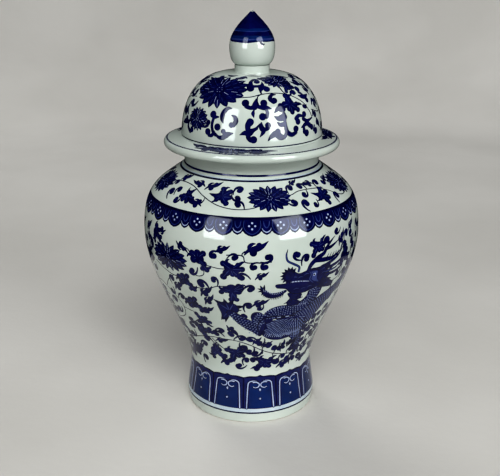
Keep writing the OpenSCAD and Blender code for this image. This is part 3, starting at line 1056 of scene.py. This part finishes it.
DOME_VINES = {
    0.8: [
        [(60, 30), (75, 26), (90, 34), (104, 40), (118, 42)],
    ],
    0.9: [
        [(-16, 45.5, 0.8), (-8, 46.4, 0.8), (0, 47.2), (9, 49.6), (20, 50.5), (30, 49.4), (38, 47),
         (45, 43), (52, 37), (57, 28), (58, 23.5, 1)],
        [(9, 49.6), (5.5, 47.5, 1), (4.6, 43, 1.2), (5.6, 39, 1.6)],
        [(36, 47.8), (32.5, 51, 1.2), (31, 56, 1.6)],
    ],
}
DOME_COMMAS = [
    [(2, 37.5, 3.4), (-1.5, 36.6, 3), (-4.8, 38, 3.4), (-5.8, 41, 3.2)],
    [(2, 37, 4.2), (2.8, 41, 3.2), (3.8, 45.4, 0.5), None],
    [(5, 37.6, 2.6), (9.5, 36.8, 3.8), (12.6, 36.6, 3.4), (16.6, 35.4, 0.6), (10.4, 41, 3)],
    [(1.6, 34.6, 1), (0.8, 31.5, 2.6), (1.5, 28, 0.5), None],
    [(11.2, 36.6, 2.2), (12.8, 32.4, 2.6), (12, 28.4, 3), (8.6, 28.6, 3.1)],
    [(-1.4, 24, 5.4), (-3.2, 20.5, 4.2), (-2.4, 16.5, 3.4), (2.4, 18, 1.8), (6.6, 22, 1.6),
     (-1.4, 24, 3.1)],
    [(-9.4, 12.4, 0.5), (-5.6, 14.2, 3.4), (-2, 14, 4.4), (0.6, 16.4, 3.2), (4, 18.2, 1.6), None],
    [(-2.4, 13.6, 3.6), (-2.8, 10.4, 3.4), (-1, 7.8, 3.2), (1.2, 8.4, 3.1)],
    [(7.4, 23.4, 1), (7.4, 19.4, 3.8), (8.8, 15.6, 3.4), (6.2, 10.8, 0.6), None],
    [(8, 18, 3.2), (10.6, 17.4, 2.8), (12.6, 18.6, 3.2), (12.6, 20.8, 2.6)],
    [(-16.6, 29.4, 0.8), (-14, 28, 2.8), (-12.8, 24.4, 3.6), (-14.8, 20.6, 3.2), (-16.2, 20.8, 2.4)],
    [(-17.4, 35.6, 1), (-21, 35.2, 3), (-24.2, 31, 3.6), (-24.6, 26, 3.2), (-23.4, 22, 0.8), None],
    [(-28, 27, 1.2), (-31, 26.6, 2.8), (-33.4, 28.8, 3.1)],
    [(-32, 27, 2.4), (-33.2, 20, 2.4), (-32, 14, 2.4), (-29.4, 10.4, 2), (-28, 18, 3)],
    [(-29.6, 12.4, 1.2), (-26.6, 9.2, 2.4), (-23, 9.2, 3.6), (-19.6, 12, 4.2), (-14.8, 13.6, 0.8),
     (-22.6, 14.6, 2.2)],
    [(-31, 13.4, 2.4), (-32.6, 10, 2.6), (-35.2, 9.8, 2.8), (-36.6, 12.8, 2.9)],
    [(-44, 17.4, 1.8), (-40, 16.8, 2), (-37.4, 18.4, 2.4), (-37, 21, 2.3)],
    [(27, 30, 3.2), (27.2, 22, 2.6), (28.2, 14.6, 3.4), (32, 11, 3.4), (36.6, 12.4, 2.8),
     (36.8, 15.6, 2.8)],
    [(26.6, 34.6, 5), (22.4, 34.8, 3.8), (19, 32, 1), None],
    [(26.6, 27.4, 5.4), (22, 26.4, 4), (18.6, 28.2, 1), None],
    [(26.8, 21, 3.6), (23, 20.8, 3.2), (20.6, 23, 1), None],
    [(12.4, 7.2, 0.6), (15, 10.6, 3.2), (19, 13, 5), (22.4, 10, 4.8), (26, 10, 3.2), (28, 14.4, 2.4),
     (20.4, 15, 2.5)],
    [(23, 48.8, 0.8), (19, 48.6, 2.4), (16.6, 45, 3.4), (19.4, 41.8, 3.4), (20.4, 43, 2.6)],
    [(46, 26, 1.8), (41.4, 27, 2.8), (38.2, 24.6, 3.4), (39.6, 21.8, 2.7)],
    [(58, 22.6, 1), (50.4, 21, 2.6), (46, 23.4, 3.2), (48.2, 27.4, 2.6)],
    [(43, 16, 1.2), (46.4, 17.8, 2.8), (50, 18.6, 3.4), (53, 16.4, 4.2), (55.6, 14.4, 2.6)],
    [(45.4, 15.6, 2.6), (45.4, 11.6, 3.2), (48.2, 10.2, 3)],
    [(49, 45.2, 1), (53, 43.6, 3.4), (58, 43, 3.6), (64, 44.4, 0.8), (58.6, 39.4, 2.4)],
    [(56, 45.6, 1.6), (52.4, 48.4, 2.8), (53.2, 52, 2.9)],
    [(39.6, 46.8, 1.2), (41.6, 49.6, 2.4), (45.4, 50.2, 2.8), (47, 48, 1.2), (44.4, 49, 2.4)],
    [(50.4, 34.4, 3.2), (53, 33.6, 2.6), (54.6, 35.4, 0.8), None],
    [(60, 15, 1.6), (58.6, 11, 2.6), (61.8, 9.8, 3)],
    [(60, 24, 1.2), (62, 27.6, 2.4), (64.6, 24.6, 2.9)],
    [(66, 20, 2), (68.4, 15.6, 3.6), (71, 11.4, 1), (66, 17, 2.6)],
    [(-8.6, 62, 0.6), (-5, 60.2, 3.8), (-1.6, 58.6, 4.8), (-1.8, 56, 3.2)],
    [(-1.4, 60, 3.2), (-1.8, 65, 2.6), (2, 69, 2.6), (6.6, 68.4, 3), (6, 65.4, 2.6)],
    [(12.4, 65, 0.6), (12, 61, 2.8), (10, 57.4, 4.8), (8.6, 53, 1.8), (9.2, 50, 0.9), (15.4, 55.4, 3)],
    [(-1, 59, 3.2), (5, 59, 2.6), (10, 59, 3.2), (14, 58, 2.6), None],
    [(8, 72.4, 1), (13, 70.6, 4.4), (18, 72, 3.4), (22, 71, 1), None],
    [(-25, 71, 1), (-17, 71.6, 4.4), (-12, 74.6, 3.2), (-8, 72, 1), None],
    [(-12, 78, 0.8), (2, 78.4, 2.2), (16, 77, 0.8), None],
    [(-56, 38, 0.8), (-59, 34, 2), (-63, 33, 2.8), (-64.6, 36, 2.9)],
    [(-74, 15, 1), (-69, 17, 4), (-63, 17.6, 3), (-60, 19, 1.6), (-66.6, 20, 2.4)],
    [(-66, 24, 1.2), (-69, 27.6, 2.6), (-72, 25, 2.9)],
    [(-76, 44, 1), (-71, 41.6, 3), (-67, 44, 2.6), (-68, 46.6, 2.4)],
    [(-60, 22, 1), (-62, 14, 2.6), (-58, 9, 2.6), (-55.6, 11.6, 2.6)],
    [(-68, 36, 1), (-70, 30, 2.6), (-74, 24, 2.6), (-76.6, 27, 2.6)],
    [(-66, 58, 0.6), (-62, 56, 3), (-58, 50, 3.4), (-60, 45, 0.8), (-64, 51, 2.4)],
    [(-72, 66, 0.6), (-60, 64.6, 3), (-50, 68, 3.4), (-40, 72, 0.8), (-52, 71, 2.2)],
    [(-48, 76, 0.6), (-36, 75, 3), (-28, 78, 0.8), None],
    [(26, 77, 0.6), (38, 76, 2.6), (50, 72, 3), (60, 68, 0.8), (44, 73, 2.2)],
    [(52, 62, 0.6), (58, 58, 3), (66, 56, 2.6), (64, 60, 2.4)],
    [(46, 66, 1.2), (48, 61, 3), (45, 57, 2.6), (47.6, 55, 2.4)],
    [(64, 34, 1), (68, 38, 3), (72, 36, 2.6), (70, 33, 2.4)],
]
DOME_LEAVES = {
    "fan": [(35, 38.5, -40, 1), (92, 60, 20, 0.85), (40, 56, 10, 0.6), (88, 21, 20, 1)],
    "wisp": [(70, 50, 60, 0.9), (78, 10, 0, 0.9), (72, 66, 20, 0.8), (104, 56, 20, 0.8)],
    "curl": [
        (76, 34, 20, 0.9), (100, 46, 200, 0.9), (104, 26, 20, 0.9), (100, 12, 160, 0.9), (82, 70, 100, 0.8),
        (64, 60, 20, 0.8), (78, 52, 200, 0.8), (84, 42, 100, 0.9),
    ],
}


def dome_half(art):
    """Stems, leaves and three flowers of different sizes."""
    vines(art, DOME_VINES)
    scatter(art, DOME_LEAVES)
    commas(art, DOME_COMMAS)
    lotus(art, art.spot(-50, 22.5), 27, 22)
    lotus(art, art.spot(33, 66), 28, 21)
    lotus(art, art.spot(-35.5, 53), 54, 38)


def paint_dome(surface):
    """A line at its foot and a lotus scroll over the dome, once on each half."""
    art = Painting(surface, 52)
    ring(art, "line", 1.0, 2.0)
    art.repeat(dome_half, (0, 180))
    return art


FLANGE_COMMAS = [
    [(-50, 13, 0.5), (-45, 11.6, 3.2), (-40, 12.4, 4), (-34, 10.6, 2.2), (-28, 9, 1.4), (-42, 9.4, 2)],
    [(-42, 5.6, 0.8), (-36, 7.6, 3.2), (-30, 7.4, 2.2), (-24, 8.6, 1.6), (-34, 4.8, 2)],
    [(-30, 12.8, 1.4), (-25, 13.4, 3.4), (-20, 12.6, 1.8), None],
    [(0, 8.6, 1.6), (4, 9.8, 2.2), (8, 9, 4), (12, 9.8, 3), (18, 9, 0.5), None],
    [(-1, 6, 1.4), (3, 4.6, 3.2), (8, 5.6, 2.4), (12, 5, 0.5), (4, 7, 1.6)],
    [(-3, 11.4, 1.6), (1, 13, 3.4), (6, 12.6, 0.6), None],
]


def flange_spray(art):
    """A low flower with strokes and two small leaves beside it."""
    commas(art, FLANGE_COMMAS)
    scatter(art, {"fan": [(-29, 9.4, 0, 0.66), (3, 8.2, 180, 0.6)]})
    lotus(art, art.spot(-15, 8.8), 36, 16.5)


def paint_flange(surface):
    """Outer line of the flange and three flower sprays on its top face."""
    art = Painting(surface, 76)
    ring(art, "wash", 0.3, 1.7)
    art.repeat(flange_spray, (0, 120, 240))
    return art


CAP_HEIGHT = 366.5  # mean height of the cap's lower edge, mm
# Ink, distances above the edge (None is the tip), unevenness in mm and the angle where that starts
CAP_BANDS = [
    ("panel", 0, None, 0.45, 0), ("wash", 0, 1.3, 0.45, 0), ("mid", 2.0, 3.4, 0.4, 70),
    ("panel", 3.4, 6.0, 0.3, 20), ("wash", 6.0, 10.0, 0.35, 100), ("mid", 10.2, 10.9, 0.3, 160),
    ("wash", 13.4, None, 0.25, 10),
]


def paint_cap(surface):
    """Cobalt cap of the finial, laid on in bands with an uneven lower edge and one short drip."""
    art = Painting(surface, 20)
    turn_round = np.linspace(-180, 180, 73)
    edge = float(np.interp(CAP_HEIGHT, surface.points[:, 1], surface.distance))
    for ink, first, last, uneven, phase in CAP_BANDS:
        slow, quick = np.sin(np.radians(3 * turn_round + phase)), np.sin(np.radians(7 * turn_round))
        low_edge = edge + first + uneven * slow + 0.5 * uneven * quick
        high_edge = surface.distance[-1] if last is None else edge + last
        art.fill(ink, [*zip(turn_round, low_edge), *((a, high_edge) for a in turn_round[::-1])])
    drip = [(20, 0.8, 1.6), (25, -1.2, 2.2), (29, -1.8, 1.4), (33, -1.4, 0.3)]
    art.line("line", [(a, edge + s, width) for a, s, width in drip])
    return art


# ---- materials -------------------------------------------------------------------------------------------


def node_material(name, first, second, cloud, roughness, ripple, gloss):
    """Clouded colour, roughness that varies between two values, and a faint ripple so many mm high."""
    material = bpy.data.materials.new(name)
    material.use_nodes = True
    nodes, links = material.node_tree.nodes, material.node_tree.links
    shader = nodes["Principled BSDF"]
    shader.inputs["Specular IOR Level"].default_value = gloss
    place = nodes.new("ShaderNodeTexCoord")

    def noise(scale, detail):
        node = nodes.new("ShaderNodeTexNoise")
        node.inputs["Scale"].default_value = scale
        node.inputs["Detail"].default_value = detail
        links.new(place.outputs["Object"], node.inputs["Vector"])
        return node.outputs["Fac"]

    ramp = nodes.new("ShaderNodeValToRGB")
    ramp.color_ramp.elements[0].position = 0.36
    ramp.color_ramp.elements[0].color = (*first, 1)
    ramp.color_ramp.elements[1].position = 0.64
    ramp.color_ramp.elements[1].color = (*second, 1)
    links.new(noise(cloud, 3), ramp.inputs["Fac"])
    links.new(ramp.outputs["Color"], shader.inputs["Base Color"])
    spread = nodes.new("ShaderNodeMapRange")
    spread.inputs["To Min"].default_value = roughness[0]
    spread.inputs["To Max"].default_value = roughness[1]
    links.new(noise(60, 2), spread.inputs["Value"])
    links.new(spread.outputs["Result"], shader.inputs["Roughness"])
    bump = nodes.new("ShaderNodeBump")
    bump.inputs["Strength"].default_value = 1.0
    bump.inputs["Distance"].default_value = ripple * MM
    links.new(noise(90, 2), bump.inputs["Height"])
    links.new(bump.outputs["Normal"], shader.inputs["Normal"])
    return material


GLOSS = (0.05, 0.11)  # roughness of the glaze
RIPPLE = 0.012  # height of its faint ripple, mm
glaze = node_material("white_glaze", (0.48, 0.535, 0.495), (0.55, 0.60, 0.557), 9, GLOSS, RIPPLE, 0.5)
bare = node_material("bare_porcelain", (0.42, 0.38, 0.31), (0.56, 0.52, 0.45), 180, (0.55, 0.75), 0.12, 0.3)
# Strengths of cobalt: the two colours and how fine their clouds are
COBALT = {
    "line": ((0.0006, 0.0008, 0.024), (0.0012, 0.0016, 0.040), 140),
    "wash": ((0.0012, 0.0020, 0.044), (0.0034, 0.0060, 0.080), 110),
    "panel": ((0.0016, 0.013, 0.075), (0.003, 0.022, 0.115), 40),
    "body": ((0.005, 0.009, 0.075), (0.012, 0.018, 0.11), 130),
    "mid": ((0.020, 0.035, 0.14), (0.045, 0.065, 0.21), 120),
    "scale": ((0.12, 0.16, 0.29), (0.20, 0.25, 0.41), 130),
    "light": ((0.30, 0.36, 0.52), (0.40, 0.46, 0.62), 80),
    "pale": ((0.42, 0.50, 0.56), (0.50, 0.57, 0.61), 60),
}
inks = {ink: node_material("cobalt_" + ink, *look, GLOSS, RIPPLE, 0.3) for ink, look in COBALT.items()}
ink_slots = {ink: "white_glaze" if ink in ("light", "pale") else "cobalt_blue" for ink in inks}
inks["wiped"] = bare
ink_slots["wiped"] = "bare_porcelain"


# ---- shells ----------------------------------------------------------------------------------------------


def build_jar():
    """The jar's four sections."""
    foot = [
        *foot_edge,
        *through((foot_r, foot_z), (foot_bore_r, foot_z), (foot_bore_r, lip), (foot_bore_r + lip, 0),
                 (foot_r - lip - foot_lean, 0)),
    ]
    turn("foot_ring", foot, glaze, "jar")
    cup = [
        ankle, rise, straight((belly_r, belly_z), (belly_r - jar_wall, belly_z)), inside(rise, jar_wall),
        inside(above(ankle, floor_z), jar_wall), straight((floor_r, floor_z), (0, floor_z)),
        straight((0, foot_z), (foot_r, foot_z)),
    ]
    turn("lower_body", cup, glaze, "jar")
    inner = inside(shoulder, jar_wall)
    top = [
        shoulder, *through((root_r, root_z), (neck_bore_r, root_z), inner[0][0]), inner,
        straight(inner[0][-1], (belly_r, belly_z)),
    ]
    turn("upper_body", top, glaze, "jar")
    rim = [
        neck_root, neck_side, *rim_edge,
        *through((neck_bore_r, rim_z - rim_round), (neck_bore_r, root_z), (root_r, root_z)),
    ]
    turn("neck_ring", rim, glaze, "jar")


def build_lid():
    """The lid's five sections."""
    flange = [
        straight((ring_bore_r, rim_z), (flange_r - flange_bulge, rim_z)), flange_edge, flange_top,
        *through((dome_r, dome_z), (ring_bore_r, dome_z), (ring_bore_r, rim_z)),
    ]
    turn("lid_flange", flange, glaze, "lid")
    ring_low = ring_low_z + edge_round
    locating = [
        *through((ring_r, ring_low), (ring_r, rim_z), (ring_bore_r, rim_z), (ring_bore_r, ring_low)),
        arc((ring_bore_r + edge_round, ring_low), edge_round, 180, 270),
        straight((ring_bore_r + edge_round, ring_low_z), (ring_r - edge_round, ring_low_z)),
        arc((ring_r - edge_round, ring_low), edge_round, 270, 360),
    ]
    turn("lid_locating_ring", locating, bare, "lid")
    hollow = inside(dome, lid_wall)
    crown = [
        dome, *through((collar_r, collar_z), (vent_r, collar_z), (vent_r, hollow[0][0][1]), hollow[0][0]),
        hollow, straight(hollow[0][-1], (dome_r, dome_z)),
    ]
    turn("lid_dome", crown, glaze, "lid")
    stem = through(
        (collar_r, collar_z), (collar_r, bud_z), (vent_r, bud_z), (vent_r, collar_z), (collar_r, collar_z)
    )
    turn("finial_collar", stem, glaze, "lid")
    bud = [ball_low, ball_high, bud_tip, straight((0, bud_z), (seat_r, bud_z))]
    turn("finial", bud, glaze, "lid")


# ---- painting of the whole jar ---------------------------------------------------------------------------


def wipe_foot(surface):
    """Line where the glaze is wiped off the edge that the jar stands on."""
    art = Painting(surface, 64)
    ring(art, "wiped", 0.5, 1.9)
    return art


def wipe_rim(surface):
    """Unglazed top of the neck, where the lid sits."""
    art = Painting(surface, 62)
    ring(art, "wiped", 0.5 * rim_round, surface.distance[-1] - 0.5 * rim_round)
    return art


def paint_all():
    """Every painted band, each on its own stretch of the outline."""
    body = Surface([ankle, rise, shoulder, neck_root, neck_side], foot_z)
    flange_outer = arc((flange_r - flange_bulge, rim_z + flange_bulge), flange_bulge, 60, 84, 8)
    bands = [  # name, painter, surface, body and spacing of the mesh in mm
        ("foot_bare", wipe_foot, Surface(foot_edge), "jar", 1.5),
        ("rim_bare", wipe_rim, Surface(rim_edge), "jar", 1.5),
        ("foot_painting", paint_foot, body, "jar", 3.0),
        ("field_painting", paint_field, body, "jar", 3.0),
        ("border_painting", paint_shoulder_border, body, "jar", 3.0),
        ("shoulder_painting", paint_shoulder, body, "jar", 3.0),
        ("neck_painting", paint_neck, body, "jar", 3.0),
        ("flange_painting", paint_flange, Surface([flange_outer, flange_top]), "lid", 3.0),
        ("dome_painting", paint_dome, Surface([dome]), "lid", 2.4),
        ("finial_painting", paint_cap, Surface([ball_low, ball_high, bud_tip]), "lid", 1.5),
    ]
    for name, paint, surface, rides_on, spacing in bands:
        paint(surface).mesh(name, inks, rides_on, ink_slots, spacing)


# ---- floor, light and camera -----------------------------------------------------------------------------


def build_floor():
    """A plain floor with a plain sweep rising all round it, both of one pale matt material.

    Only the floor near the jar shows in the glaze, and the backdrop takes no part in the light.
    """
    paint = node_material("pale_floor", (0.57, 0.56, 0.53), (0.62, 0.61, 0.58), 3, (0.7, 0.85), 0.3, 0.2)
    sweep = [(1.2, 0, 0), (1.5, 0.02, 0), (1.9, 0.2, 0), (2.15, 0.6, 0), (2.2, 1.2, 0), (2.2, 2.6, 0)]
    outlines = {
        "floor": [(0.002, 0), (0.2, 0), (0.4, 0)],
        "far_floor": [(0.4, 0), (0.8, 0), (1.2, 0)],
        "backdrop": spline(sweep, 0.05)[:, :2],
    }
    steps = 120
    angles = [2 * math.pi * k / steps for k in range(steps)]
    for name, outline in outlines.items():
        mesh = bpy.data.meshes.new(name)
        spots = [(r * math.sin(a), -r * math.cos(a), z) for r, z in outline for a in angles]
        faces = []
        for row in range(0, steps * (len(outline) - 1), steps):
            for k in range(steps):
                after = (k + 1) % steps
                faces.append((row + k, row + steps + k, row + steps + after, row + after))
        mesh.from_pydata(spots, [], faces)
        mesh.shade_smooth()
        mesh.materials.append(paint)
        piece = bpy.data.objects.new(name, mesh)
        bpy.context.scene.collection.objects.link(piece)
        piece.visible_glossy = name == "floor"
        piece.visible_shadow = name != "backdrop"
        piece.visible_diffuse = name != "backdrop"


def soft_light(name, azimuth, distance, height, size, power, lights_up):
    """A soft rectangular light facing the jar's middle, seen in its glaze or lighting its colours."""
    light = bpy.data.lights.new(name, "AREA")
    light.shape = "RECTANGLE"
    light.size, light.size_y = size
    light.energy = power
    light.color = (0.90, 0.96, 1.0) if lights_up == "glaze" else (1.0, 1.0, 1.0)
    lamp = bpy.data.objects.new(name, light)
    angle = math.radians(azimuth)
    lamp.location = (distance * math.sin(angle), -distance * math.cos(angle), height)
    middle = Vector((0, 0, 0.2))
    lamp.rotation_euler = (middle - lamp.location).to_track_quat("-Z", "Y").to_euler()
    lamp.visible_diffuse = lights_up == "colours"
    lamp.visible_glossy = lights_up == "glaze"
    bpy.context.scene.collection.objects.link(lamp)


def light_scene():
    """Two windows that show in the glaze, and soft light from in front, above and behind."""
    soft_light("left_window", -38, 4.5, 1.7, (2.0, 3.75), 150, "glaze")
    soft_light("right_window", 43, 4.5, 1.7, (2.6, 3.75), 240, "glaze")
    soft_light("left_fill", -38, 4.7, 1.8, (2.0, 3.0), 28, "colours")
    soft_light("right_fill", 43, 4.7, 1.8, (2.6, 3.0), 72, "colours")
    soft_light("high_fill", 5, 4.0, 3.6, (3.5, 1.75), 173, "colours")
    soft_light("back_fill", 205, 4.7, 2.6, (2.5, 2.0), 90, "colours")
    world = bpy.data.worlds.new("studio")
    world.use_nodes = True
    background = world.node_tree.nodes["Background"]
    background.inputs["Color"].default_value = (0.96, 0.98, 1.0, 1)
    background.inputs["Strength"].default_value = 0.06
    world.cycles_visibility.glossy = False
    bpy.context.scene.world = world


CAMERA_PLACE = (-0.0013, -0.833, 0.4528)
LENS = 63.14  # mm, on a sensor 36 mm wide
LOOKS_DOWN = 18.62  # degrees
ROLL = 0.25  # degrees


def place_camera():
    """A camera above the top of the jar that looks down at it, as in the photograph."""
    camera = bpy.data.cameras.new("camera")
    camera.sensor_width = 36
    camera.lens = LENS
    view = bpy.data.objects.new("camera", camera)
    view.location = CAMERA_PLACE
    tilt = Matrix.Rotation(math.radians(90 - LOOKS_DOWN), 3, "X")
    roll = Matrix.Rotation(math.radians(ROLL), 3, "Z")
    view.rotation_euler = (tilt @ roll).to_euler()
    bpy.context.scene.collection.objects.link(view)
    bpy.context.scene.camera = view


build_jar()
build_lid()
paint_all()
build_floor()
light_scene()
place_camera()
bpy.context.scene.view_settings.view_transform = "Standard"
bpy.context.scene.view_settings.look = "High Contrast"
